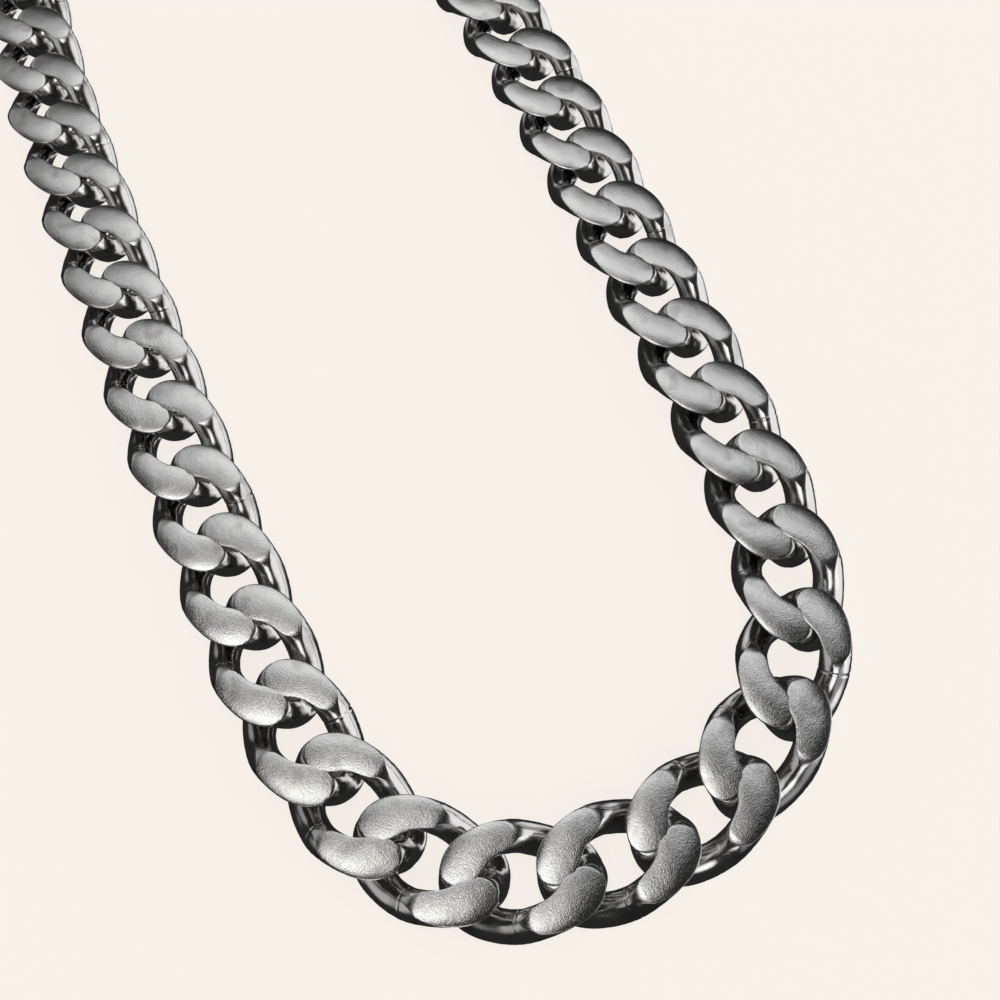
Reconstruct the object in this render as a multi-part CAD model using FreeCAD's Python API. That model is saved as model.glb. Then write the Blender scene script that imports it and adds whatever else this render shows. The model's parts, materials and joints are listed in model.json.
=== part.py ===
"""A flat curb-link chain necklace, laid out in a long U with its lobster clasp undone.

Every link is one closed loop of round wire. The loop is an oval that is twisted along its length,
so that each link lies flat while its neighbours pass through it, and its two high spots on each
face are pressed flat. All lengths are in millimetres. The origin is the middle of the necklace's
footprint, on the surface it lies on. +Z is up and the open end of the U is at +Y.
"""

import FreeCAD, Part
import math
import os

from FreeCAD import Placement, Rotation, Vector

# ---- driving dimensions of the chain -------------------------------------------------------------

CHAIN_WIDTH = 12.0
WIRE = 0.258 * CHAIN_WIDTH  # wire diameter
PITCH = 0.81 * CHAIN_WIDTH  # from one link's middle to the next
LINK_LENGTH = 1.38 * CHAIN_WIDTH  # over the outside of the wire
THICKNESS = 0.36 * CHAIN_WIDTH  # between the pressed faces
TWIST = 48.0  # how far each end of a link is turned out of flat, in degrees
FULLNESS = 2.5  # exponent of the oval: 2 is an ellipse, higher is fuller at the corners
LINK_KNOTS = 8  # places round a link where its arcs are fitted to the oval

# The turn from each link to the next, going outwards from the bottom link: (links, degrees each).
# A positive turn bends the strand in towards the middle of the necklace.
LEFT_TURNS = [(1, 27.0), (1, 22.5), (1, 11.5), (1, 6.5), (8, 0.3), (6, 1.6), (5, 0.0)]
RIGHT_TURNS = [(1, 18.0), (1, 14.5), (3, 20.5), (1, 9.5), (1, 4.0), (5, 0.2), (6, 1.6), (5, 0.0)]

# ---- driving dimensions of the fittings at the two ends ------------------------------------------

RING_WIRE = 1.5
JUMP_RING_RADIUS = 3.4  # to the middle of its wire
END_RING_RADIUS = 4.1
RING_TILT = 17.0  # how far a ring leans out of flat where it lies threaded through the last link
RING_OVERHANG = 0.2  # gap from the ring's wire to the inside of the link, and to the eye

EYE_WIRE = 1.0
EYE_RADIUS = 1.6
STEM_RADIUS = 0.7
STEM_FIT = 0.05  # radial running clearance of the swivel stem and of the lever's pin
HEAD_RADIUS = 1.2
HEAD_LENGTH = 0.9
NECK_WALL = 1.3  # the wall of the clasp that the stem turns in

CLASP_LENGTH = 21.0
CLASP_WIDTH = 11.0
CLASP_THICKNESS = 4.2
CLASP_RIM = 2.3  # width of the claw's band
LEVER_THICKNESS = 1.8
LEVER_GAP = 0.15  # between the lever and the clasp body
PIN_RADIUS = 0.6
PIN_ALONG = 6.2  # the lever's pivot, along the clasp from its neck
PIN_ACROSS = 2.6
HUB_RADIUS = 1.8  # of the lever round its pin
TAB_RADIUS = 1.1
TAB_ALONG = 5.0
TAB_ACROSS = 6.0
GATE_THICKNESS = 3.2
GATE_START = 8.3  # where the full-thickness gate begins, along the clasp
GATE_END = 15.6  # where the gate meets the nose of the claw
GATE_SLANT = 0.7  # how far the nose overhangs the end of the gate
SLOT_START = 3.4
SLOT_FLOOR = -0.6
SPRING_THICKNESS = 0.25

# ---- values worked out from them -----------------------------------------------------------------

HALF_LENGTH = (LINK_LENGTH - WIRE) / 2  # of the wire's centre line
HALF_WIDTH = (CHAIN_WIDTH - WIRE) / 2
MID_HEIGHT = THICKNESS / 2  # the height at which every link's middle lies
RING_START = HALF_LENGTH - (WIRE + RING_WIRE) / 2 - RING_OVERHANG  # the ring's wire inside the link
RING_FAR = RING_START + 2 * JUMP_RING_RADIUS
EYE_MIDDLE = RING_FAR - (RING_WIRE + EYE_WIRE) / 2 - RING_OVERHANG + EYE_RADIUS
NECK = EYE_MIDDLE + EYE_RADIUS + EYE_WIRE  # the clasp's own frame starts here
NECK_LENGTH = 0.36 * CLASP_LENGTH
NECK_WIDTH = 0.44 * CLASP_WIDTH
SHOULDER_WIDTH = 0.85 * CLASP_WIDTH  # where the neck runs into the claw
CLAW_LENGTH = 0.84 * CLASP_LENGTH
GATE_FLOOR = 0.2 * CLASP_WIDTH / 2
UP = Vector(0, 0, 1)


def link_centre_point(angle):
    """One point of a link's centre line. The link lies along X, with its middle at the origin."""
    along = math.copysign(abs(math.cos(angle)) ** (2 / FULLNESS), math.cos(angle))
    across = math.copysign(abs(math.sin(angle)) ** (2 / FULLNESS), math.sin(angle))
    turned = -math.radians(TWIST) * along
    side = HALF_WIDTH * across
    return Vector(HALF_LENGTH * along, side * math.cos(turned), side * math.sin(turned))


def link_heading(angle):
    """The direction in which a link's centre line runs at one of its points."""
    step = 0.001
    return (link_centre_point(angle + step) - link_centre_point(angle - step)).normalize()


def meeting_point(start, start_heading, end, end_heading):
    """Where two arcs meet smoothly, one leaving start and the other arriving at end."""
    gap = end - start
    headings = start_heading + end_heading
    spread = 2 * (1 - start_heading.dot(end_heading))
    along = gap.dot(headings)
    reach = (math.sqrt(along ** 2 + spread * gap.dot(gap)) - along) / spread
    return (start + start_heading * reach + end - end_heading * reach) * 0.5


def wire_arc(start, heading, end, radius):
    """Round wire bent in one arc from start to end, and the direction in which it arrives."""
    chord = end - start
    inward = (chord - heading * chord.dot(heading)).normalize()
    bend_radius = chord.dot(chord) / (2 * chord.dot(inward))
    centre = start + inward * bend_radius
    axis = heading.cross(inward)
    angle = 2 * math.degrees(math.atan2(chord.dot(inward), chord.dot(heading)))
    section = Part.Face(Part.Wire(Part.makeCircle(radius, start, heading)))
    arrival = Rotation(axis, angle).multVec(heading)
    return section.revolve(centre, axis, angle), arrival


def make_link():
    """One curb link: round wire on the twisted oval, with its high spots pressed flat."""
    angles = [math.tau * step / LINK_KNOTS for step in range(LINK_KNOTS + 1)]
    arcs = []
    for first, last in zip(angles, angles[1:]):
        start, start_heading = link_centre_point(first), link_heading(first)
        end, end_heading = link_centre_point(last), link_heading(last)
        middle = meeting_point(start, start_heading, end, end_heading)
        arc, middle_heading = wire_arc(start, start_heading, middle, WIRE / 2)
        arcs.append(arc)
        arc, _ = wire_arc(middle, middle_heading, end, WIRE / 2)
        arcs.append(arc)
    wire = arcs[0].multiFuse(arcs[1:]).Solids[0]
    above = Part.makeBox(2 * LINK_LENGTH, 2 * CHAIN_WIDTH, THICKNESS)
    above.translate(Vector(-LINK_LENGTH, -CHAIN_WIDTH, THICKNESS / 2))
    below = above.copy()
    below.translate(UP * -2 * THICKNESS)
    return wire.cut(above).cut(below).Solids[0]


def make_ring(radius, wire, axis):
    """A closed ring of round wire about the origin."""
    return Part.makeTorus(radius, wire / 2, Vector(0, 0, 0), axis)


def make_threaded_ring(radius):
    """A ring threaded through the end of a strand, as it lies in the frame of the last link."""
    ring = make_ring(radius, RING_WIRE, UP)
    ring.rotate(Vector(0, 0, 0), Vector(1, 0, 0), RING_TILT)
    ring.translate(Vector(RING_START + radius, 0, 0))
    return ring


def make_swivel_eye():
    """The clasp's upright eye, with the headed stem on which the clasp turns."""
    eye = make_ring(EYE_RADIUS, EYE_WIRE, Vector(0, 1, 0))
    eye.translate(Vector(EYE_MIDDLE, 0, 0))
    along = Vector(1, 0, 0)
    stem_start = EYE_MIDDLE + EYE_RADIUS
    head_start = NECK + NECK_WALL + LEVER_GAP
    stem = Part.makeCylinder(STEM_RADIUS, head_start - stem_start, Vector(stem_start, 0, 0), along)
    head = Part.makeCylinder(HEAD_RADIUS, HEAD_LENGTH, Vector(head_start, 0, 0), along)
    return eye.multiFuse([stem, head]).Solids[0]


def plate(outline, thickness):
    """A flat plate, from (along, across) corners given in the clasp's own frame."""
    corners = [Vector(along, across, -thickness / 2) for along, across in outline]
    face = Part.Face(Part.makePolygon(corners + corners[:1]))
    return face.extrude(UP * thickness)


def disc(along, across, radius, thickness):
    """An upright cylinder in the clasp's own frame, halfway through its thickness."""
    return Part.makeCylinder(radius, thickness, Vector(along, across, -thickness / 2))


def oval(along, across, length, width, thickness):
    """An upright elliptical block in the clasp's own frame."""
    edge = Part.Ellipse(Vector(along, across, -thickness / 2), length / 2, width / 2).toShape()
    return Part.Face(Part.Wire(edge)).extrude(UP * thickness)


def claw_band(thickness, play):
    """The closed band that the claw and the gate are both cut from, thinner on each side by play."""
    middle = CLASP_LENGTH - CLAW_LENGTH / 2
    outside = oval(middle, 0, CLAW_LENGTH - 2 * play, CLASP_WIDTH - 2 * play, thickness)
    inner_length = CLAW_LENGTH - 2 * CLASP_RIM + 2 * play
    inner_width = CLASP_WIDTH - 2 * CLASP_RIM + 2 * play
    inside = oval(middle, 0, inner_length, inner_width, 2 * thickness)
    return outside.cut(inside)


def gate_space(play, thickness):
    """The stretch of the band that the gate fills, closed up by play at both ends."""
    outer = CLASP_WIDTH
    corners = [
        (GATE_START + play, GATE_FLOOR),
        (GATE_END + GATE_SLANT - play, GATE_FLOOR),
        (GATE_END - GATE_SLANT - play, outer),
        (GATE_START + play, outer),
    ]
    return plate(corners, thickness)


def make_clasp_body():
    """The claw: a band with a nose, on a neck that holds the swivel stem and the lever's pin."""
    neck = plate([
        (0, -NECK_WIDTH / 2),
        (NECK_LENGTH, -SHOULDER_WIDTH / 2),
        (NECK_LENGTH, SHOULDER_WIDTH / 2),
        (0, NECK_WIDTH / 2),
    ], CLASP_THICKNESS)
    middle = CLASP_LENGTH - CLAW_LENGTH / 2
    inner_length = CLAW_LENGTH - 2 * CLASP_RIM
    inner_width = CLASP_WIDTH - 2 * CLASP_RIM
    hole = oval(middle, 0, inner_length, inner_width, 2 * CLASP_THICKNESS)
    body = neck.fuse(oval(middle, 0, CLAW_LENGTH, CLASP_WIDTH, CLASP_THICKNESS)).cut(hole)
    body = body.cut(gate_space(0, 2 * CLASP_THICKNESS))
    slot = plate([
        (SLOT_START, SLOT_FLOOR),
        (GATE_START + HUB_RADIUS, SLOT_FLOOR),
        (GATE_START + HUB_RADIUS, CLASP_WIDTH),
        (SLOT_START, CLASP_WIDTH),
    ], LEVER_THICKNESS + 2 * LEVER_GAP)
    along = Vector(1, 0, 0)
    stem_bore = Part.makeCylinder(STEM_RADIUS + STEM_FIT, 2 * NECK_WALL, Vector(-NECK_WALL, 0, 0), along)
    pocket_length = HEAD_LENGTH + 2 * LEVER_GAP
    pocket_radius = HEAD_RADIUS + LEVER_GAP
    pocket = Part.makeCylinder(pocket_radius, pocket_length, Vector(NECK_WALL, 0, 0), along)
    pin_bore = disc(PIN_ALONG, PIN_ACROSS, PIN_RADIUS, 2 * CLASP_THICKNESS)
    for space in (slot, stem_bore, pocket, pin_bore):
        body = body.cut(space)
    return body.Solids[0]


def make_clasp_lever():
    """The lever: a hub on the pin, a thumb tab outside the claw, and the gate that closes it."""
    hub = disc(PIN_ALONG, PIN_ACROSS, HUB_RADIUS, LEVER_THICKNESS)
    tab = disc(TAB_ALONG, TAB_ACROSS, TAB_RADIUS, LEVER_THICKNESS)
    neck = plate([
        (TAB_ALONG - TAB_RADIUS, TAB_ACROSS),
        (PIN_ALONG - HUB_RADIUS, PIN_ACROSS),
        (PIN_ALONG + HUB_RADIUS, PIN_ACROSS),
        (TAB_ALONG + TAB_RADIUS, TAB_ACROSS),
    ], LEVER_THICKNESS)
    tongue = claw_band(LEVER_THICKNESS, LEVER_GAP).common(plate([
        (PIN_ALONG, PIN_ACROSS - PIN_RADIUS),
        (GATE_START + HUB_RADIUS, PIN_ACROSS - PIN_RADIUS),
        (GATE_START + HUB_RADIUS, CLASP_WIDTH),
        (PIN_ALONG, CLASP_WIDTH),
    ], LEVER_THICKNESS))
    gate = claw_band(GATE_THICKNESS, LEVER_GAP).common(gate_space(3 * LEVER_GAP, GATE_THICKNESS))
    lever = hub.multiFuse([tab, neck, tongue, gate])
    return lever.cut(disc(PIN_ALONG, PIN_ACROSS, PIN_RADIUS + STEM_FIT, CLASP_THICKNESS)).Solids[0]


def make_clasp_pin():
    """The pin that the lever turns on, flush with both faces of the clasp."""
    return disc(PIN_ALONG, PIN_ACROSS, PIN_RADIUS, CLASP_THICKNESS)


def make_clasp_spring():
    """A bowed leaf spring in the slot, under the lever's hub."""
    top = PIN_ACROSS - HUB_RADIUS - LEVER_GAP
    foot = SLOT_FLOOR + SPRING_THICKNESS + STEM_FIT
    height = -LEVER_THICKNESS / 2

    def bow(lower):
        near = Vector(PIN_ALONG - HUB_RADIUS, foot - lower, height)
        crown = Vector(PIN_ALONG, top - lower, height)
        far = Vector(PIN_ALONG + HUB_RADIUS, foot - lower, height)
        return Part.Arc(near, crown, far)

    over, under = bow(0), bow(SPRING_THICKNESS)
    sides = [
        Part.makeLine(over.StartPoint, under.StartPoint),
        Part.makeLine(over.EndPoint, under.EndPoint),
    ]
    edges = Part.__sortEdges__([over.toShape(), under.toShape(), *sides])
    return Part.Face(Part.Wire(edges)).extrude(UP * LEVER_THICKNESS)


def walk(turns, heading, sense):
    """The places of the links of one strand, going outwards: a list of (x, y, heading)."""
    x = y = 0.0
    stations = []
    for count, turn in turns:
        for _ in range(count):
            x += PITCH / 2 * math.cos(math.radians(heading))
            y += PITCH / 2 * math.sin(math.radians(heading))
            heading += sense * turn
            x += PITCH / 2 * math.cos(math.radians(heading))
            y += PITCH / 2 * math.sin(math.radians(heading))
            stations.append((x, y, heading))
    return stations


def placed(shape, station):
    """A copy of a shape, moved from the frame of a link to that link's place in the necklace."""
    x, y, heading = station
    copy = shape.copy()
    copy.rotate(Vector(0, 0, 0), UP, heading)
    copy.translate(Vector(x, y, MID_HEIGHT))
    return copy


def build():
    """Every piece of the necklace, by node name."""
    link = make_link()
    pieces = {"bottom_link": placed(link, (0, 0, 0))}
    left = walk(LEFT_TURNS, 180, -1)
    right = walk(RIGHT_TURNS, 0, 1)
    for side, stations in (("left", left), ("right", right)):
        for number, station in enumerate(stations, start=1):
            pieces[f"{side}_link_{number:02d}"] = placed(link, station)
    pieces["clasp_jump_ring"] = placed(make_threaded_ring(JUMP_RING_RADIUS), left[-1])
    pieces["clasp_swivel_eye"] = placed(make_swivel_eye(), left[-1])
    for name, make in (
        ("clasp_body", make_clasp_body),
        ("clasp_lever", make_clasp_lever),
        ("clasp_lever_pin", make_clasp_pin),
        ("clasp_leaf_spring", make_clasp_spring),
    ):
        shape = make()
        shape.translate(Vector(NECK, 0, 0))
        pieces[name] = placed(shape, left[-1])
    pieces["end_ring"] = placed(make_threaded_ring(END_RING_RADIUS), right[-1])
    middle = Part.makeCompound(list(pieces.values())).optimalBoundingBox(False, False).Center
    for shape in pieces.values():
        shape.translate(Vector(-middle.x, -middle.y, 0))
    return pieces


if __name__ == "__main__":
    os.makedirs("parts", exist_ok=True)
    for name, shape in build().items():
        shape.exportStep(f"parts/{name}.step")
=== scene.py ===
"""The looks of a flat curb-link necklace: its links, end fittings, finishes and studio.

Everything is in metres, in the CAD model's frame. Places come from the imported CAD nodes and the
record's joints. Each piece is built where it belongs, in its own mesh, and rides its CAD body.
"""

import json
import logging
import math
from dataclasses import dataclass
from enum import Enum

import bmesh
import bpy
from mathutils import Euler, Matrix, Vector

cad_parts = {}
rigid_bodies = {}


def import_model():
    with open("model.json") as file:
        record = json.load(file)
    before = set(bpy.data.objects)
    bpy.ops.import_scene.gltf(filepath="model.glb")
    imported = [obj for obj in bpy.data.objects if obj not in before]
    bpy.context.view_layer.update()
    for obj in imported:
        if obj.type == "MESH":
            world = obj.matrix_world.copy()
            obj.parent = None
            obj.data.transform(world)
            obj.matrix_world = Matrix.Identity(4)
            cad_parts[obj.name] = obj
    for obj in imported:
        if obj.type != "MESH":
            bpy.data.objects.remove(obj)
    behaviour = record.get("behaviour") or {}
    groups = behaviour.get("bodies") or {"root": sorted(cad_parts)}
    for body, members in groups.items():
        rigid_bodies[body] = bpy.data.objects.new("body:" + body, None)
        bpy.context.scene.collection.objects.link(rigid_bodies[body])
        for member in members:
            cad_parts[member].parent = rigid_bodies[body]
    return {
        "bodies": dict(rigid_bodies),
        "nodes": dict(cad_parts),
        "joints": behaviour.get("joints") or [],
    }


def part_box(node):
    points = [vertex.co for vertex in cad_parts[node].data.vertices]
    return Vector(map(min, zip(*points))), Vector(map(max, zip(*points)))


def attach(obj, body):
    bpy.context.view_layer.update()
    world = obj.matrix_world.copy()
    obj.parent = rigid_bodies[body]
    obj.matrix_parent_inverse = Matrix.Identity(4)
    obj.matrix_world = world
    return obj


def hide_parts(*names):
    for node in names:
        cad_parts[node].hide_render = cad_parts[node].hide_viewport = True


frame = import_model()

log = logging.getLogger("necklace")

MM = 0.001
LINK_SPACE = "link_space"  # the vertex attribute that textures are placed by
PRESSED = "pressed"  # the vertex attribute that is 1 on the links' pressed faces
RING_SIDES = 20  # sides of the round wire of the rings


# ---- shapes --------------------------------------------------------------------------------------


def grid_place(centre: Vector, ahead: Vector, up: Vector, wide: float, high: float) -> Matrix:
    """The matrix that puts a unit circle across a path.

    Args:
        centre: Where the path is.
        ahead: The direction in which the path runs.
        up: Roughly upwards. The circle's Y axis is turned as close to it as it can be.
        wide: Half the section's width.
        high: Half the section's height.

    Returns:
        A matrix whose Z axis runs along the path.
    """
    forward = ahead.normalized()
    side = up.cross(forward).normalized()
    above = forward.cross(side)
    turned = Matrix((side, above, forward)).transposed().to_4x4()
    return Matrix.Translation(centre) @ turned @ Matrix.Diagonal((wide, high, 1, 1))


def sweep(
    bm: bmesh.types.BMesh, places: list[Matrix], sides: int, closed: bool
) -> list[list[bmesh.types.BMVert]]:
    """Sweeps a round section through a row of places.

    Args:
        bm: The mesh to add to.
        places: One matrix per section, each putting a unit circle in its place.
        sides: How many sides the section has.
        closed: Whether the last section is joined to the first. Open ends are capped.

    Returns:
        The vertices of each section, in the order of places.
    """
    start = bmesh.ops.create_circle(bm, segments=sides, radius=1.0, matrix=places[0])
    loops = [start["verts"]]
    edges = list({edge for vert in start["verts"] for edge in vert.link_edges})
    first = edges
    for before, after in zip(places, places[1:]):
        grown = bmesh.ops.extrude_edge_only(bm, edges=edges)["geom"]
        verts = [item for item in grown if isinstance(item, bmesh.types.BMVert)]
        edges = [item for item in grown if isinstance(item, bmesh.types.BMEdge)]
        bmesh.ops.transform(bm, matrix=after @ before.inverted(), verts=verts)
        loops.append(verts)
    if closed:
        bmesh.ops.bridge_loops(bm, edges=first + edges)
    else:
        bmesh.ops.edgeloop_fill(bm, edges=first)
        bmesh.ops.edgeloop_fill(bm, edges=edges)
    bmesh.ops.recalc_face_normals(bm, faces=bm.faces)
    return loops


def torus(bm: bmesh.types.BMesh, place: Matrix, radius: float, wire: float, steps: int) -> None:
    """Adds a ring of round wire, lying flat in the frame of place.

    Args:
        bm: The mesh to add to.
        place: The ring's own frame.
        radius: From the middle to the wire's centre line.
        wire: The wire's radius.
        steps: How many sections the ring has.
    """
    up = Vector((0, 0, 1))
    places = []
    for step in range(steps):
        angle = math.tau * step / steps
        outwards = Vector((math.cos(angle), math.sin(angle), 0))
        ahead = Vector((-outwards.y, outwards.x, 0))
        places.append(place @ grid_place(outwards * radius, ahead, up, wire, wire))
    sweep(bm, places, RING_SIDES, closed=True)


@dataclass
class Piece:
    """A mesh under construction, which becomes one piece of the necklace.

    Args:
        name: The finished object's name.
        body: The CAD body that it rides.
        nodes: The CAD nodes that it stands for.
        slot: The record's material slot. It is not used.
    """

    name: str
    body: str
    nodes: tuple[str, ...]
    slot: str

    def __post_init__(self) -> None:
        """Opens an empty mesh."""
        self.bm = bmesh.new()

    def finish(self, place: Matrix, material: bpy.types.Material, shift: float = 0.0) -> None:
        """Moves the mesh to its place and makes the object, which rides its body.

        Args:
            place: The piece's own frame, in the frame of the CAD model.
            material: The piece's finish.
            shift: How far this piece's textures are moved, so that neighbours don't look alike.
        """
        bmesh.ops.recalc_face_normals(self.bm, faces=self.bm.faces)
        space = self.bm.verts.layers.float_vector.new(LINK_SPACE)
        moved = Vector((shift, 0.37 * shift, 0))
        for vert in self.bm.verts:
            vert[space] = vert.co + moved
        bmesh.ops.transform(self.bm, matrix=place, verts=self.bm.verts)
        for face in self.bm.faces:
            face.smooth = True
        mesh = bpy.data.meshes.new(self.name)
        self.bm.to_mesh(mesh)
        self.bm.free()
        mesh.materials.append(material)
        piece = bpy.data.objects.new(self.name, mesh)
        bpy.context.scene.collection.objects.link(piece)
        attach(piece, self.body)
        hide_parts(*self.nodes)
        log.info("%s: %d faces", self.name, len(mesh.polygons))


# ---- finishes ------------------------------------------------------------------------------------


class Socket(Enum):
    """The kinds of socket that the effect groups have."""

    NUMBER = "NodeSocketFloat"
    VECTOR = "NodeSocketVector"


class EffectGroup:
    """A shader node group with named inputs and outputs."""

    def __init__(self, name: str, inputs: dict[str, tuple[Socket, float | None]], outputs: list[str]) -> None:
        """Makes an empty group.

        Args:
            name: The group's name.
            inputs: Each input's kind, and its starting value if it has one.
            outputs: The names of the number outputs.
        """
        self.tree = bpy.data.node_groups.new(name, "ShaderNodeTree")
        for label, (kind, value) in inputs.items():
            socket = self.tree.interface.new_socket(label, in_out="INPUT", socket_type=kind.value)
            if value is not None:
                socket.default_value = value
        for label in outputs:
            self.tree.interface.new_socket(label, in_out="OUTPUT", socket_type=Socket.NUMBER.value)
        self.inputs = self.tree.nodes.new("NodeGroupInput").outputs
        self.outputs = self.tree.nodes.new("NodeGroupOutput").inputs

    def node(self, kind: str, **settings: object) -> bpy.types.Node:
        """Adds a node and sets its properties."""
        return add_node(self.tree, kind, **settings)

    def link(self, source: bpy.types.NodeSocket, target: bpy.types.NodeSocket) -> None:
        """Joins two sockets."""
        self.tree.links.new(source, target)


def add_node(tree: bpy.types.NodeTree, kind: str, **settings: object) -> bpy.types.Node:
    """Adds a node to a tree.

    Args:
        tree: The tree to add to.
        kind: The node's type name.
        settings: Properties of the node, by name.

    Returns:
        The node.
    """
    node = tree.nodes.new(kind)
    for label, value in settings.items():
        setattr(node, label, value)
    return node


def set_inputs(node: bpy.types.Node, values: dict[str | int, object]) -> bpy.types.Node:
    """Sets a node's input sockets.

    Args:
        node: The node.
        values: The value of each socket, by its name or number.

    Returns:
        The same node.
    """
    for label, value in values.items():
        node.inputs[label].default_value = value
    return node


def make_grain() -> bpy.types.NodeTree:
    """The fine pitting of pressed and tumbled steel, as a height from 0 to 1.

    Returns:
        The node group.
    """
    group = EffectGroup(
        "FineGrain",
        {"Vector": (Socket.VECTOR, None), "Scale": (Socket.NUMBER, 5000.0)},
        ["Height"],
    )
    fine = set_inputs(group.node("ShaderNodeTexNoise"), {"Detail": 3.0, "Roughness": 0.65})
    group.link(group.inputs["Vector"], fine.inputs["Vector"])
    group.link(group.inputs["Scale"], fine.inputs["Scale"])
    spread = set_inputs(group.node("ShaderNodeMapRange"), {"From Min": 0.3, "From Max": 0.7})
    group.link(fine.outputs["Fac"], spread.inputs["Value"])
    group.link(spread.outputs["Result"], group.outputs["Height"])
    return group.tree


def make_strokes() -> bpy.types.NodeTree:
    """Long fine strokes that run along one axis, as drawing or brushing leaves them.

    Returns:
        The node group.
    """
    group = EffectGroup(
        "Strokes",
        {
            "Vector": (Socket.VECTOR, None),
            "Across": (Socket.NUMBER, 9000.0),
            "Along": (Socket.NUMBER, 300.0),
        },
        ["Height"],
    )
    scales = group.node("ShaderNodeCombineXYZ")
    group.link(group.inputs["Along"], scales.inputs["X"])
    group.link(group.inputs["Across"], scales.inputs["Y"])
    group.link(group.inputs["Across"], scales.inputs["Z"])
    stretched = group.node("ShaderNodeVectorMath", operation="MULTIPLY")
    group.link(group.inputs["Vector"], stretched.inputs[0])
    group.link(scales.outputs["Vector"], stretched.inputs[1])
    lines = set_inputs(group.node("ShaderNodeTexNoise"), {"Scale": 1.0, "Detail": 2.0})
    group.link(stretched.outputs["Vector"], lines.inputs["Vector"])
    spread = set_inputs(group.node("ShaderNodeMapRange"), {"From Min": 0.35, "From Max": 0.65})
    group.link(lines.outputs["Fac"], spread.inputs["Value"])
    group.link(spread.outputs["Result"], group.outputs["Height"])
    return group.tree


def make_scratches() -> bpy.types.NodeTree:
    """Sparse straight hairlines from wear, as a mask that is 1 in a scratch.

    Returns:
        The node group.
    """
    group = EffectGroup(
        "Hairlines",
        {"Vector": (Socket.VECTOR, None), "Turn": (Socket.NUMBER, 0.6), "Share": (Socket.NUMBER, 0.66)},
        ["Mask"],
    )
    turned = group.node("ShaderNodeVectorRotate", rotation_type="Z_AXIS")
    group.link(group.inputs["Vector"], turned.inputs["Vector"])
    group.link(group.inputs["Turn"], turned.inputs["Angle"])
    stretched = group.node("ShaderNodeVectorMath", operation="MULTIPLY")
    stretched.inputs[1].default_value = (350.0, 9000.0, 2500.0)
    group.link(turned.outputs["Vector"], stretched.inputs[0])
    lines = set_inputs(group.node("ShaderNodeTexNoise"), {"Scale": 1.0, "Detail": 0.0})
    group.link(stretched.outputs["Vector"], lines.inputs["Vector"])
    thin = set_inputs(group.node("ShaderNodeMapRange"), {"From Max": 0.8})
    group.link(lines.outputs["Fac"], thin.inputs["Value"])
    group.link(group.inputs["Share"], thin.inputs["From Min"])
    group.link(thin.outputs["Result"], group.outputs["Mask"])
    return group.tree


def make_waves() -> bpy.types.NodeTree:
    """Slow unevenness of a hand-finished surface, as a height from 0 to 1.

    Returns:
        The node group.
    """
    group = EffectGroup(
        "SlowWaves",
        {"Vector": (Socket.VECTOR, None), "Scale": (Socket.NUMBER, 260.0)},
        ["Height"],
    )
    slow = set_inputs(group.node("ShaderNodeTexNoise"), {"Detail": 1.5, "Roughness": 0.4})
    group.link(group.inputs["Vector"], slow.inputs["Vector"])
    group.link(group.inputs["Scale"], slow.inputs["Scale"])
    group.link(slow.outputs["Fac"], group.outputs["Height"])
    return group.tree


@dataclass(frozen=True)
class Effects:
    """The node groups that the finishes share."""

    grain: bpy.types.NodeTree
    strokes: bpy.types.NodeTree
    scratches: bpy.types.NodeTree
    waves: bpy.types.NodeTree

    @classmethod
    def make(cls) -> "Effects":
        """Builds every group once."""
        return cls(make_grain(), make_strokes(), make_scratches(), make_waves())


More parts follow.
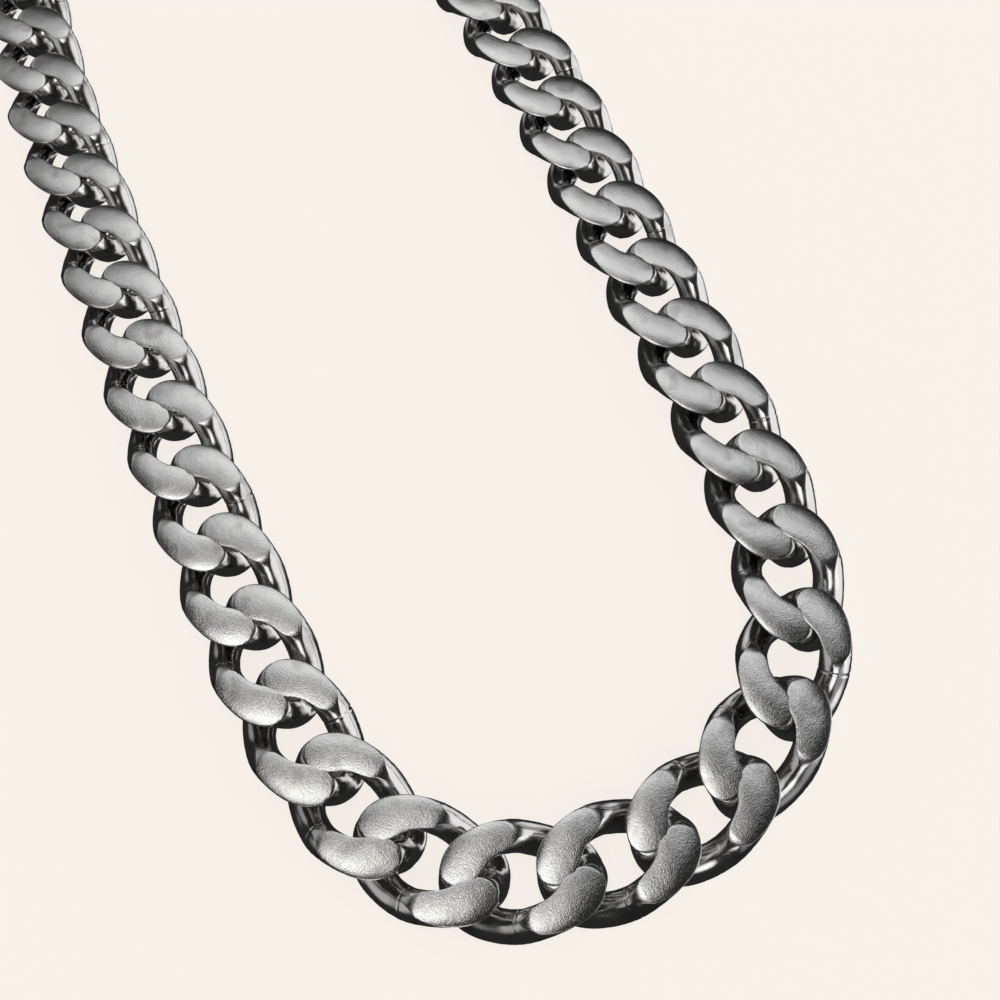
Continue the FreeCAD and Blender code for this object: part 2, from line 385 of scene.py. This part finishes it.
@dataclass(frozen=True)
class Surface:
    """One way in which a steel surface has been worked.

    Args:
        color: The metal's colour where it is clean.
        stain: Its colour where dirt and polish have stayed.
        smoothest: The lowest roughness.
        roughest: The highest roughness.
        grain_scale: How fine the pitting is.
        grain_depth: How deep the pitting is, in metres.
        stroke_depth: How deep the strokes are, in metres.
        wave_scale: How many slow waves there are in a metre, roughly.
        wave_depth: How deep the slow unevenness is, in metres.
        scratch_depth: How deep the scratches are, in metres.
        scuff: How much rougher the metal is in a scratch.
    """

    color: tuple[float, float, float] = (0.70, 0.69, 0.68)
    stain: tuple[float, float, float] = (0.42, 0.40, 0.39)
    smoothest: float = 0.10
    roughest: float = 0.22
    grain_scale: float = 5000.0
    grain_depth: float = 0.000002
    stroke_depth: float = 0.000002
    wave_scale: float = 330.0
    wave_depth: float = 0.00003
    scratch_depth: float = 0.000002
    scuff: float = 0.08

    def dress(self, tree: bpy.types.NodeTree, effects: Effects) -> bpy.types.Node:
        """Adds this surface to a material.

        Args:
            tree: The material's nodes.
            effects: The shared node groups.

        Returns:
            The shader node.
        """
        steel = set_inputs(tree.nodes.new("ShaderNodeBsdfPrincipled"), {"Metallic": 1.0})
        space = add_node(tree, "ShaderNodeAttribute", attribute_name=LINK_SPACE).outputs["Vector"]

        def effect(group: bpy.types.NodeTree, values: dict[str, float]) -> bpy.types.NodeSocket:
            """Adds one shared group, placed by the piece's own coordinates.

            Args:
                group: The shared group.
                values: Its inputs' values, by name.

            Returns:
                Its output.
            """
            node = add_node(tree, "ShaderNodeGroup", node_tree=group)
            tree.links.new(space, node.inputs["Vector"])
            return set_inputs(node, values).outputs[0]

        waves = effect(effects.waves, {"Scale": self.wave_scale})
        grain = effect(effects.grain, {"Scale": self.grain_scale})
        strokes = effect(effects.strokes, {})
        scratches = effect(effects.scratches, {})
        self.color_by(tree, steel, waves)
        self.roughen(tree, steel, grain, scratches)
        normal = None
        for height, depth in (
            (waves, self.wave_depth),
            (grain, self.grain_depth),
            (strokes, self.stroke_depth),
            (scratches, -self.scratch_depth),
        ):
            bump = add_node(tree, "ShaderNodeBump", invert=depth < 0)
            set_inputs(bump, {"Strength": 1.0, "Distance": abs(depth)})
            tree.links.new(height, bump.inputs["Height"])
            if normal:
                tree.links.new(normal, bump.inputs["Normal"])
            normal = bump.outputs["Normal"]
        tree.links.new(normal, steel.inputs["Normal"])
        return steel

    def color_by(self, tree: bpy.types.NodeTree, steel: bpy.types.Node, waves: bpy.types.NodeSocket) -> None:
        """Stains the metal's colour slightly in its low places.

        Args:
            tree: The material's nodes.
            steel: The shader node.
            waves: The height of the slow unevenness.
        """
        mix = add_node(tree, "ShaderNodeMix", data_type="RGBA")
        mix.inputs["A"].default_value = (*self.stain, 1)
        mix.inputs["B"].default_value = (*self.color, 1)
        clean = set_inputs(add_node(tree, "ShaderNodeMapRange"), {"From Min": 0.2, "From Max": 0.42})
        tree.links.new(waves, clean.inputs["Value"])
        tree.links.new(clean.outputs["Result"], mix.inputs["Factor"])
        tree.links.new(mix.outputs["Result"], steel.inputs["Base Color"])

    def roughen(
        self,
        tree: bpy.types.NodeTree,
        steel: bpy.types.Node,
        grain: bpy.types.NodeSocket,
        scratches: bpy.types.NodeSocket,
    ) -> None:
        """Varies the roughness with the grain, and raises it in the scratches.

        Args:
            tree: The material's nodes.
            steel: The shader node.
            grain: The height of the pitting.
            scratches: The mask of the scratches.
        """
        spread = set_inputs(
            add_node(tree, "ShaderNodeMapRange"), {"To Min": self.smoothest, "To Max": self.roughest}
        )
        tree.links.new(grain, spread.inputs["Value"])
        scuffed = add_node(tree, "ShaderNodeMath", operation="MULTIPLY_ADD")
        scuffed.inputs[1].default_value = self.scuff
        tree.links.new(scratches, scuffed.inputs[0])
        tree.links.new(spread.outputs["Result"], scuffed.inputs[2])
        tree.links.new(scuffed.outputs["Value"], steel.inputs["Roughness"])


@dataclass(frozen=True)
class SteelFinish:
    """A material of stainless steel, worked in one way all over or differently where it is pressed.

    Args:
        name: The material's name.
        surface: How it is worked.
        pressed: How it is worked where the PRESSED attribute is 1, or None.
    """

    name: str
    surface: Surface
    pressed: Surface | None = None

    def build(self, effects: Effects) -> bpy.types.Material:
        """Makes the material.

        Args:
            effects: The shared node groups.

        Returns:
            The material.
        """
        material = bpy.data.materials.new(self.name)
        material.use_nodes = True
        tree = material.node_tree
        tree.nodes.remove(tree.nodes["Principled BSDF"])
        shader = self.surface.dress(tree, effects).outputs["BSDF"]
        if self.pressed:
            mix = add_node(tree, "ShaderNodeMixShader")
            share = add_node(tree, "ShaderNodeAttribute", attribute_name=PRESSED).outputs["Fac"]
            tree.links.new(share, mix.inputs["Fac"])
            tree.links.new(shader, mix.inputs[1])
            tree.links.new(self.pressed.dress(tree, effects).outputs["BSDF"], mix.inputs[2])
            shader = mix.outputs["Shader"]
        tree.links.new(shader, tree.nodes["Material Output"].inputs["Surface"])
        return material


@dataclass(frozen=True)
class Finishes:
    """Every material of the necklace."""

    link: bpy.types.Material
    ring: bpy.types.Material
    clasp: bpy.types.Material
    pin: bpy.types.Material
    spring: bpy.types.Material

    @classmethod
    def make(cls, effects: Effects) -> "Finishes":
        """Builds every material once.

        Args:
            effects: The shared node groups.

        Returns:
            The materials.
        """
        tumbled = Surface(
            smoothest=0.10, roughest=0.20, grain_depth=0.0000015, stroke_depth=0.0000005,
            wave_depth=0.00001, scratch_depth=0.0000008,
        )
        pressed = Surface(
            color=(0.74, 0.73, 0.72), smoothest=0.07, roughest=0.20, grain_scale=5500.0,
            grain_depth=0.000009, stroke_depth=0.0000004, wave_depth=0.00006, scratch_depth=0.0000005,
        )
        turned = Surface(color=(0.62, 0.61, 0.60), smoothest=0.2, roughest=0.35)
        strip = Surface(color=(0.55, 0.55, 0.56), smoothest=0.2, roughest=0.3)
        return cls(
            link=SteelFinish("LinkSteel", tumbled, pressed).build(effects),
            ring=SteelFinish("DrawnRingWire", Surface(smoothest=0.08, roughest=0.18)).build(effects),
            clasp=SteelFinish("CastClasp", Surface(smoothest=0.11, grain_scale=3500.0)).build(effects),
            pin=SteelFinish("TurnedPin", turned).build(effects),
            spring=SteelFinish("SpringStrip", strip).build(effects),
        )


# ---- the links -----------------------------------------------------------------------------------


@dataclass(frozen=True)
class CurbLink:
    """The shape of every link: round wire on a twisted oval, pressed flat where it stands high.

    Args:
        length: Over the outside of the wire.
        width: Across the link, over the outside of the wire.
        thickness: Between the pressed faces.
    """

    length: float
    width: float
    thickness: float
    wire_ratio: float = 0.28  # the wire's diameter over the link's width
    twist: float = math.radians(48)  # how far each end is turned out of flat
    end_twist: float = math.radians(13)  # the further turn of the bends at its ends
    side_twist: float = 0.45  # how much faster the wire turns at the middle of each side
    side_reach: float = 0.3  # how much of a side that takes, as a share of half the length
    end_growth: float = 0.02  # how much thicker the wire is there, as a share of its radius
    end_reach: float = math.radians(24)  # how far round the link from its end that reaches
    fullness: float = 2.5  # exponent of the oval
    crown: float = 0.05  # how much of the wire's own roundness the press leaves in a face
    roll: float = 0.09 * MM  # how far a face rolls down at its outer border, which is worn soft
    bow: float = 0.11 * MM  # how far a face falls from its middle to its head and its tail
    face_middle: float = 0.22  # where that middle is, from the link's middle, as a share of its length
    spread_in: float = 0.30  # how far the press has spread a face's head towards the link's middle
    spread_out: float = 0.22  # and away from it, both as shares of the wire's radius
    spread_depth: float = 1.1 * MM  # how far below the face the wire is spread
    head_angle: float = math.radians(38)  # where round the link the spread is widest, from its end
    head_reach: float = math.radians(22)
    steps: int = 96  # sections round the link
    sides: int = 28  # sides of each section
    strip: int = 8  # how many of those sides each pressed strip takes
    narrowest: float = math.radians(10)  # half the angle of a strip where nothing is pressed
    inner_rim: float = 0.10 * MM  # the width of the rounding at a face's inner border
    outer_rim: float = 0.22 * MM
    fade: float = 0.25 * MM  # how far below a face its finish fades into that of the wire
    levelness: float = 0.8  # how upright a pressed face's normal is at least
    weld_waist: float = 0.955  # the wire's radius at the weld, as a share of the rest
    weld_step: float = 0.007  # from one section to the next there, in radians round the link
    nudge: float = 0.001  # how far round the link the wire's direction is measured over, in radians

    @property
    def wire(self) -> float:
        """The wire's radius."""
        return self.wire_ratio * self.width / 2

    def point(self, angle: float) -> Vector:
        """A point of the wire's centre line, with the link lying along X.

        Args:
            angle: Where round the link the point is, from the +X end.

        Returns:
            The point, in the link's own frame.
        """
        power = 2 / self.fullness
        along = math.copysign(abs(math.cos(angle)) ** power, math.cos(angle))
        across = math.copysign(abs(math.sin(angle)) ** power, math.sin(angle))
        side = (self.width / 2 - self.wire) * across
        faster = 1 + self.side_twist * math.exp(-((along / self.side_reach) ** 2))
        turned = -(self.twist * faster + self.end_twist * abs(along) ** 5) * along
        return Vector(
            ((self.length / 2 - self.wire) * along, side * math.cos(turned), side * math.sin(turned))
        )

    def sections(self, weld_angle: float) -> dict[float, Matrix]:
        """The places of the wire's sections, with a narrow waist where the wire's ends are welded.

        Args:
            weld_angle: Where round the link the weld is.

        Returns:
            Each section's matrix, by its angle round the link.
        """
        angles = [math.tau * (step + 0.5) / self.steps for step in range(self.steps)]
        waist = {weld_angle + step * self.weld_step: 1.0 for step in (-2, -1, 1, 2)}
        waist[weld_angle] = self.weld_waist
        places = {}
        for angle in sorted(angles + list(waist)):
            ahead = self.point(angle + self.nudge) - self.point(angle - self.nudge)
            near = math.exp(-((math.remainder(angle, math.pi) / self.end_reach) ** 2))
            radius = self.wire * waist.get(angle, 1.0) * (1 + self.end_growth * near)
            places[angle] = grid_place(self.point(angle), ahead, Vector((0, 0, 1)), radius, radius)
        return places

    def press_height(self, places: dict[float, Matrix]) -> float:
        """The height at which the borders of the pressed faces lie.

        Args:
            places: The sections' matrices.

        Returns:
            The height above the link's middle.
        """
        top = max(
            place.translation.z + self.wire * place.col[1].xyz.normalized().z
            for place in places.values()
        )
        return (self.thickness / 2 - self.crown * top) / (1 - self.crown)

    def closeness(self, height: float, border: float) -> float:
        """How near a height is to a pressed face: 1 at the face, 0 where the press did nothing."""
        close = min(max((abs(height) - border) / self.spread_depth + 1, 0.0), 1.0)
        return close * close * (3 - 2 * close)

    def widen(self, corner: Vector, angle: float, height: float, border: float) -> float:
        """How much the press has widened the wire at one corner of a section.

        Args:
            corner: The corner in the section's own frame, whose X axis points into the link.
            angle: Where round the link the section is.
            height: The corner's height in the link's frame.
            border: The height of the pressed faces' borders.

        Returns:
            What the corner's own X is multiplied by.
        """
        from_end = abs(math.remainder(angle, math.pi))
        head = math.exp(-(((from_end - self.head_angle) / self.head_reach) ** 2))
        spread = self.spread_in if corner.x > 0 else self.spread_out
        return 1 + spread * head * self.closeness(height, border)

    def strip_half(self, place: Matrix, height: float) -> float:
        """Half the angle over which a section stands above a height.

        Args:
            place: The section's matrix.
            height: The height.

        Returns:
            The angle, no less than the narrowest strip's.
        """
        reach = (height - place.translation.z) / place.col[1].z
        if reach >= math.cos(self.narrowest):
            return self.narrowest
        return math.acos(max(reach, 0.05))

    def crowd(self, share: float) -> float:
        """Moves a strip's corners towards its borders, which keeps the shading of its middle flat."""
        return share * (1.5 - 0.5 * share * share)

    def side_angle(self, index: int, top: float, bottom: float) -> float:
        """Where round its section one corner goes.

        Args:
            index: The corner's number, counted from the section's own X axis.
            top: Half the angle of the upper strip.
            bottom: Half the angle of the lower strip.

        Returns:
            The corner's angle.
        """
        half = self.strip // 2
        quarter = self.sides // 4
        between = self.sides // 2 - self.strip
        if index < quarter - half:
            index += self.sides
        if index <= quarter + half:
            return math.pi / 2 + math.asin(self.crowd((index - quarter) / half) * math.sin(top))
        if index < 3 * quarter - half:
            share = (index - quarter - half) / between
            return math.pi / 2 + top + share * (math.pi - top - bottom)
        if index <= 3 * quarter + half:
            return 1.5 * math.pi + math.asin(self.crowd((index - 3 * quarter) / half) * math.sin(bottom))
        share = (index - 3 * quarter - half) / between
        return 1.5 * math.pi + bottom + share * (math.pi - top - bottom)

    def build(self, bm: bmesh.types.BMesh, weld_angle: float) -> None:
        """Makes the link in its own frame, and marks how far each corner is pressed.

        Args:
            bm: The empty mesh to fill.
            weld_angle: Where round the link the weld is.
        """
        places = self.sections(weld_angle)
        border = self.press_height(places)
        loops = sweep(bm, list(places.values()), self.sides, closed=True)
        strips = {}
        for (angle, place), loop in zip(places.items(), loops):
            top = self.strip_half(place, border)
            lower = place.copy()
            lower.translation.z *= -1
            bottom = self.strip_half(lower, border)
            inverse = place.inverted()
            for vert in loop:
                local = inverse @ vert.co
                index = round(math.atan2(local.y, local.x) / (math.tau / self.sides)) % self.sides
                turn = self.side_angle(index, top, bottom)
                corner = Vector((math.cos(turn), math.sin(turn), 0))
                height = (place @ corner).z
                wide = self.widen(corner, angle, height, border)
                vert.co = place @ Vector((corner.x * wide, corner.y, 0))
                over = abs(height) - border
                level = border + self.crown * over if over > 0 else abs(height)
                from_middle = abs(vert.co.x) / (self.face_middle * self.length) - 1
                fall = self.roll * max(-corner.x, 0.0) ** 2 + self.bow * min(from_middle**2, 1.0)
                level -= fall * self.closeness(height, border)
                vert.co.z = math.copysign(level, height)
                strips[vert] = (index, top, bottom)
        faces = {face for face in bm.faces if self.is_pressed(face, border)}
        self.round_borders(bm, strips, faces)
        pressed = bm.verts.layers.float.new(PRESSED)
        for vert in bm.verts:
            near = (abs(vert.co.z) - border) / self.fade + 1
            vert[pressed] = min(max(near, 0.0), 1.0)

    def is_pressed(self, face: bmesh.types.BMFace, border: float) -> bool:
        """Tells whether a face lies in one of the two pressed planes."""
        return abs(face.calc_center_median().z) > border and abs(face.normal.z) > self.levelness

    def round_borders(
        self,
        bm: bmesh.types.BMesh,
        strips: dict[bmesh.types.BMVert, tuple[int, float, float]],
        pressed: set[bmesh.types.BMFace],
    ) -> None:
        """Rounds the borders of the pressed faces, tightly inside the link and widely outside it.

        Args:
            bm: The link's mesh.
            strips: Each vertex's number round its section, and half the angles of its two strips.
            pressed: The faces that lie in the pressed planes.
        """
        half = self.strip // 2
        quarter = self.sides // 4
        inner, outer = [], []
        for edge in bm.edges:
            (first, top_1, bottom_1), (last, top_2, bottom_2) = (strips[vert] for vert in edge.verts)
            if first != last:
                continue
            upper = first in (quarter - half, quarter + half) and min(top_1, top_2) > self.narrowest
            lower = first in (3 * quarter - half, 3 * quarter + half)
            lower = lower and min(bottom_1, bottom_2) > self.narrowest
            if not (upper or lower):
                continue
            middle = (edge.verts[0].co + edge.verts[1].co) / 2
            beside = min(
                (face.calc_center_median().xy.length for face in edge.link_faces if face in pressed),
                default=0.0,
            )
            (inner if middle.xy.length < beside else outer).append(edge)
        for edges, width, segments in ((inner, self.inner_rim, 2), (outer, self.outer_rim, 3)):
            bmesh.ops.bevel(
                bm, geom=edges, offset=width, segments=segments, profile=0.5,
                affect="EDGES", material=-1, clamp_overlap=True,
            )


@dataclass
class Chain:
    """All the links, placed by the record's joints.

    Args:
        finishes: The materials.
    """

    finishes: Finishes
    shift: float = 6 * MM  # how far the texture moves from one link to the next
    shifts: int = 9  # how many links differ before the first one's texture comes back

    def __post_init__(self) -> None:
        """Takes the links' size from the bottom link, which lies straight along X."""
        low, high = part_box("bottom_link")
        size = high - low
        self.link = CurbLink(length=size.x, width=size.y, thickness=size.z)

    def place(self, body: str) -> Matrix:
        """The frame of one link: its middle, and X along the strand.

        Args:
            body: The link's CAD body, which has the same name as its node.

        Returns:
            The frame.
        """
        low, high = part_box(body)
        middle = (low + high) / 2
        hinge = next((joint for joint in frame["joints"] if joint["child"] == body), None)
        along = middle - Vector(hinge["pos_m"]) if hinge else Vector((1, 0, 0))
        return Matrix.Translation(middle) @ Matrix.Rotation(math.atan2(along.y, along.x), 4, "Z")

    def bodies(self) -> list[str]:
        """The names of the links' bodies."""
        return [name for name in frame["bodies"] if "link" in name]

    def build(self) -> None:
        """Makes every link, each with its weld on one side or the other and its own marks."""
        for number, body in enumerate(self.bodies()):
            piece = Piece(f"{body}_polished", body, (body,), "curb_links")
            weld_angle = math.pi / 2 if number % 3 else 1.5 * math.pi
            self.link.build(piece.bm, weld_angle)
            piece.finish(self.place(body), self.finishes.link, self.shift * (number % self.shifts))


# ---- the fittings at the two ends ----------------------------------------------------------------


@dataclass
class RoundedCasting:
    """A fitting whose CAD shape is right and only needs its edges rounded.

    Args:
        node: The CAD node, whose mesh is copied.
        body: The CAD body that it rides.
        slot: The record's material slot.
        material: Its finish.
        rounding: The width of the rounding on its sharp edges.
        sharpness: The angle from which an edge counts as sharp.
        flatness: The angle up to which neighbouring faces are made one.
        weld: How near each other two corners are to be the same one.
    """

    node: str
    body: str
    slot: str
    material: bpy.types.Material
    rounding: float
    sharpness: float = math.radians(35)
    flatness: float = math.radians(1)
    weld: float = 0.002 * MM

    def build(self) -> None:
        """Copies the CAD mesh, cleans it and rounds its edges."""
        piece = Piece(f"{self.node}_rounded", self.body, (self.node,), self.slot)
        bm = piece.bm
        bm.from_mesh(frame["nodes"][self.node].data)
        bmesh.ops.remove_doubles(bm, verts=bm.verts, dist=self.weld)
        bmesh.ops.dissolve_limit(
            bm, angle_limit=self.flatness, use_dissolve_boundaries=False, verts=bm.verts, edges=bm.edges
        )
        for face in bm.faces:
            face.material_index = 0
        sharp = [
            edge for edge in bm.edges
            if edge.is_manifold and edge.calc_face_angle(0.0) > self.sharpness
        ]
        bmesh.ops.bevel(
            bm, geom=sharp, offset=self.rounding, segments=3, profile=0.5,
            affect="EDGES", material=-1, clamp_overlap=True,
        )
        low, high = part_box(self.node)
        middle = (low + high) / 2
        bmesh.ops.translate(bm, vec=-middle, verts=bm.verts)
        piece.finish(Matrix.Translation(middle), self.material)


@dataclass
class JumpRing:
    """A closed ring of round wire.

    Args:
        node: The CAD node and body.
        last_link: The link that it is threaded through.
        material: Its finish.
        wire: The wire's radius.
        lean: How far the ring is turned out of flat.
        steps: How many sections it has.
    """

    node: str
    last_link: str
    material: bpy.types.Material
    wire: float = 0.75 * MM
    lean: float = math.radians(17)
    steps: int = 90

    def build(self, chain: Chain) -> None:
        """Makes the ring where the CAD ring lies.

        Args:
            chain: The chain, for the frame of its last link.
        """
        low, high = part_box(self.node)
        turn = chain.place(self.last_link).to_euler()
        place = Matrix.Translation((low + high) / 2) @ turn.to_matrix().to_4x4()
        along = place.to_3x3() @ Vector((1, 0, 0))
        reach = [vert.co.dot(along) for vert in frame["nodes"][self.node].data.vertices]
        radius = (max(reach) - min(reach)) / 2 - self.wire
        piece = Piece(f"{self.node}_drawn", self.node, (self.node,), "rings")
        torus(piece.bm, Matrix.Rotation(self.lean, 4, "X"), radius, self.wire, self.steps)
        piece.finish(place, self.material)


@dataclass
class Fittings:
    """The swivel clasp at one end and the ring that it hooks into at the other.

    Args:
        finishes: The materials.
        chain: The chain that they hang on.
    """

    finishes: Finishes
    chain: Chain

    def build(self) -> None:
        """Makes every fitting."""
        finishes = self.finishes
        JumpRing("clasp_jump_ring", "left_link_23", finishes.ring).build(self.chain)
        JumpRing("end_ring", "right_link_23", finishes.ring).build(self.chain)
        for node, body, slot, material, rounding in (
            ("clasp_swivel_eye", "clasp_swivel_eye", "swivel_eye", finishes.ring, 0.12),
            ("clasp_body", "clasp_body", "clasp", finishes.clasp, 0.45),
            ("clasp_lever", "clasp_lever", "clasp", finishes.clasp, 0.25),
            ("clasp_lever_pin", "clasp_body", "lever_pin", finishes.pin, 0.1),
            ("clasp_leaf_spring", "clasp_body", "spring", finishes.spring, 0.05),
        ):
            RoundedCasting(node, body, slot, material, rounding * MM).build()


# ---- the studio ----------------------------------------------------------------------------------


@dataclass(frozen=True)
class Glow:
    """A soft round patch of light in the surroundings.

    Args:
        turn: Its compass direction in degrees, from +X towards +Y.
        height: Its height above the horizon, in degrees.
        size: The angle from its middle to where it has faded out, in degrees.
        strength: How bright it is.
        color: Its tint.
        core: The share of its size that is fully bright.
    """

    turn: float
    height: float
    size: float
    strength: float
    color: tuple[float, float, float] = (1.0, 1.0, 1.0)
    core: float = 0.4

    def direction(self) -> Vector:
        """The direction of its middle.

        Returns:
            A unit vector.
        """
        turn, height = math.radians(self.turn), math.radians(self.height)
        return Vector(
            (math.cos(turn) * math.cos(height), math.sin(turn) * math.cos(height), math.sin(height))
        )


@dataclass(frozen=True)
class Studio:
    """The pale floor, the soft light and the camera."""

    floor_color: tuple[float, float, float] = (0.947, 0.896, 0.839)
    floor_half: float = 3.0  # half the floor's side, in metres
    floor_glow: float = 0.9  # the share of the floor's brightness that is its own
    floor_shade: float = 0.25  # the share of its colour that takes light, and so shadows
    surroundings: float = 0.025
    glows: tuple[Glow, ...] = (
        Glow(0, 8, 44, 1.1, core=0.6),
        Glow(48, -14, 26, 0.9, core=0.5),
        Glow(98, -10, 24, 0.7, core=0.4),
        Glow(101, 54, 19, 1.0, (0.98, 0.99, 1.0), core=0.35),
        Glow(165, 78, 14, 1.9, (1.0, 0.99, 0.97), core=0.3),
        Glow(64, 63, 9, 1.2, (0.96, 0.98, 1.0), core=0.5),
        Glow(190, 12, 30, 0.5),
        Glow(265, 44, 22, 1.5, (1.0, 0.98, 0.95)),
        Glow(315, 12, 34, 0.35, (0.96, 0.98, 1.0)),
        Glow(138, 24, 26, 0.35),
    )
    eye: tuple[float, float, float] = (2.9 * MM, -24.5 * MM, 130.9 * MM)  # from the bottom link
    lean: tuple[float, float, float] = (26.8, 2.81, -2.96)  # the camera's rotation, in degrees
    lens: float = 46.9  # in millimetres

    def build(self) -> None:
        """Makes the floor, the surroundings and the camera."""
        self.build_floor()
        self.build_surroundings()
        self.build_camera()
        bpy.context.scene.view_settings.view_transform = "Standard"

    def build_floor(self) -> None:
        """Lays a wide pale floor under the necklace."""
        bm = bmesh.new()
        bmesh.ops.create_grid(bm, x_segments=1, y_segments=1, size=self.floor_half)
        mesh = bpy.data.meshes.new("floor")
        bm.to_mesh(mesh)
        bm.free()
        floor = bpy.data.objects.new("floor", mesh)
        bpy.context.scene.collection.objects.link(floor)
        material = bpy.data.materials.new("PalePaper")
        material.use_nodes = True
        paper = material.node_tree.nodes["Principled BSDF"]
        set_inputs(paper, {
            "Base Color": (*(self.floor_shade * value for value in self.floor_color), 1),
            "Roughness": 0.9,
            "Specular IOR Level": 0.0,
            "Emission Color": (*self.floor_color, 1),
            "Emission Strength": self.floor_glow,
        })
        mesh.materials.append(material)
        floor.visible_glossy = False

    def build_surroundings(self) -> None:
        """Puts soft glows in dark surroundings, which the camera itself sees as pale as the floor."""
        world = bpy.data.worlds.new("studio")
        bpy.context.scene.world = world
        world.use_nodes = True
        tree = world.node_tree
        look = add_node(tree, "ShaderNodeTexCoord").outputs["Generated"]
        base = add_node(tree, "ShaderNodeRGB")
        base.outputs[0].default_value = (self.surroundings,) * 3 + (1,)
        total = base.outputs[0]
        for glow in self.glows:
            facing = add_node(tree, "ShaderNodeVectorMath", operation="DOT_PRODUCT")
            facing.inputs[1].default_value = glow.direction()
            tree.links.new(look, facing.inputs[0])
            fade = add_node(tree, "ShaderNodeMapRange", interpolation_type="SMOOTHSTEP")
            edge = math.cos(math.radians(glow.size))
            full = math.cos(math.radians(glow.size * glow.core))
            set_inputs(fade, {"From Min": edge, "From Max": full, "To Max": glow.strength})
            tree.links.new(facing.outputs["Value"], fade.inputs["Value"])
            tint = add_node(tree, "ShaderNodeVectorMath", operation="MULTIPLY_ADD")
            tint.inputs[1].default_value = glow.color
            tree.links.new(fade.outputs["Result"], tint.inputs[0])
            tree.links.new(total, tint.inputs[2])
            total = tint.outputs["Vector"]
        seen = add_node(tree, "ShaderNodeMix", data_type="RGBA")
        seen.inputs["B"].default_value = (*self.floor_color, 1)
        tree.links.new(add_node(tree, "ShaderNodeLightPath").outputs["Is Camera Ray"], seen.inputs["Factor"])
        tree.links.new(total, seen.inputs["A"])
        tree.links.new(seen.outputs["Result"], tree.nodes["Background"].inputs["Color"])

    def build_camera(self) -> None:
        """Puts the camera above the bottom of the U, looking up the strands."""
        low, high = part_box("bottom_link")
        data = bpy.data.cameras.new("camera")
        data.lens = self.lens
        data.clip_start = 1 * MM
        camera = bpy.data.objects.new("camera", data)
        camera.location = (low + high) / 2 + Vector(self.eye)
        camera.rotation_euler = Euler([math.radians(angle) for angle in self.lean])
        bpy.context.scene.collection.objects.link(camera)
        bpy.context.scene.camera = camera


def main() -> None:
    """Builds the necklace and its studio."""
    logging.basicConfig(level=logging.INFO, format="%(message)s")
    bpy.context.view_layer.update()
    finishes = Finishes.make(Effects.make())
    chain = Chain(finishes)
    chain.build()
    Fittings(finishes, chain).build()
    Studio().build()


if __name__ == "__main__":
    main()
